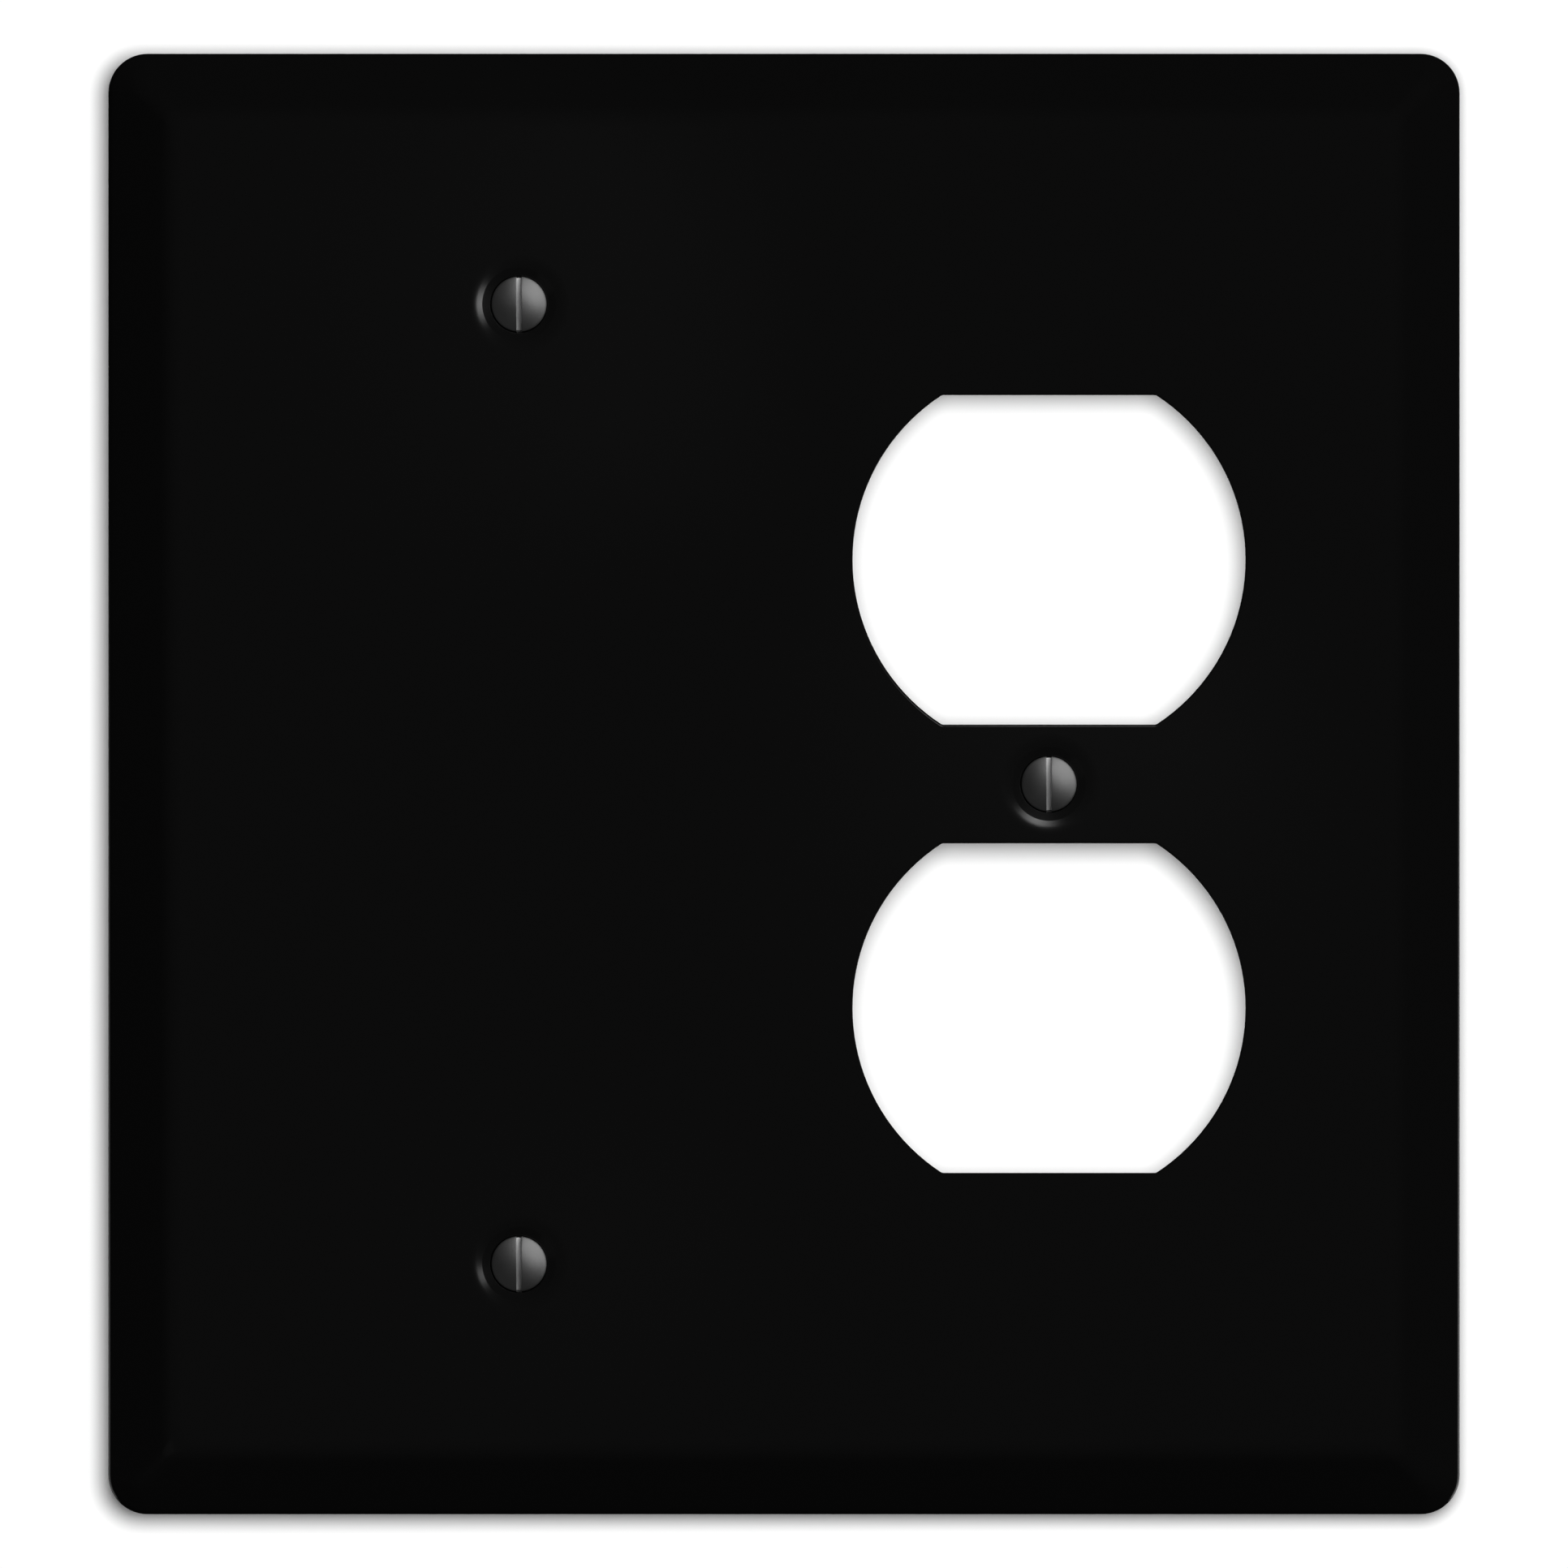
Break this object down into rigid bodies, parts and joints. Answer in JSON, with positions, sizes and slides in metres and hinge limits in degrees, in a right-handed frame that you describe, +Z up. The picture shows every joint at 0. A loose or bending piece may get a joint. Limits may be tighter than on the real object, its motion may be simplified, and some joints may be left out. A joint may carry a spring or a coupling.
{
  "type": "wall plate",
  "caption": "Pressed steel wall plate, blank on the left and open for a duplex receptacle on the right, with slotted oval-head screws that back out.",
  "frame": {"origin": "middle of the wall plane, on which the plate's rim lies", "axes": "+Z up the plate, +X to the right as seen from the room, +Y into the wall"},
  "size_m": [0.1174, 0.0134, 0.127],
  "materials": {
    "plate_enamel": "black baked enamel on steel, semi-gloss",
    "screw_enamel": "satin black paint on the head, clear zinc on the shank"
  },
  "bodies": {
    "plate": {"plate": "plate_enamel"},
    "box_screw_upper": {"box_screw_upper": "screw_enamel"},
    "box_screw_lower": {"box_screw_lower": "screw_enamel"},
    "receptacle_screw": {"receptacle_screw": "screw_enamel"}
  },
  "joints": [
    {"name": "box_screw_upper_travel", "type": "slide", "parent": "plate", "child": "box_screw_upper", "axis": [0, -1, 0], "range_m": [0, 0.011]},
    {"name": "box_screw_lower_travel", "type": "slide", "parent": "plate", "child": "box_screw_lower", "axis": [0, -1, 0], "range_m": [0, 0.011]},
    {"name": "receptacle_screw_travel", "type": "slide", "parent": "plate", "child": "receptacle_screw", "axis": [0, -1, 0], "range_m": [0, 0.011]}
  ]
}
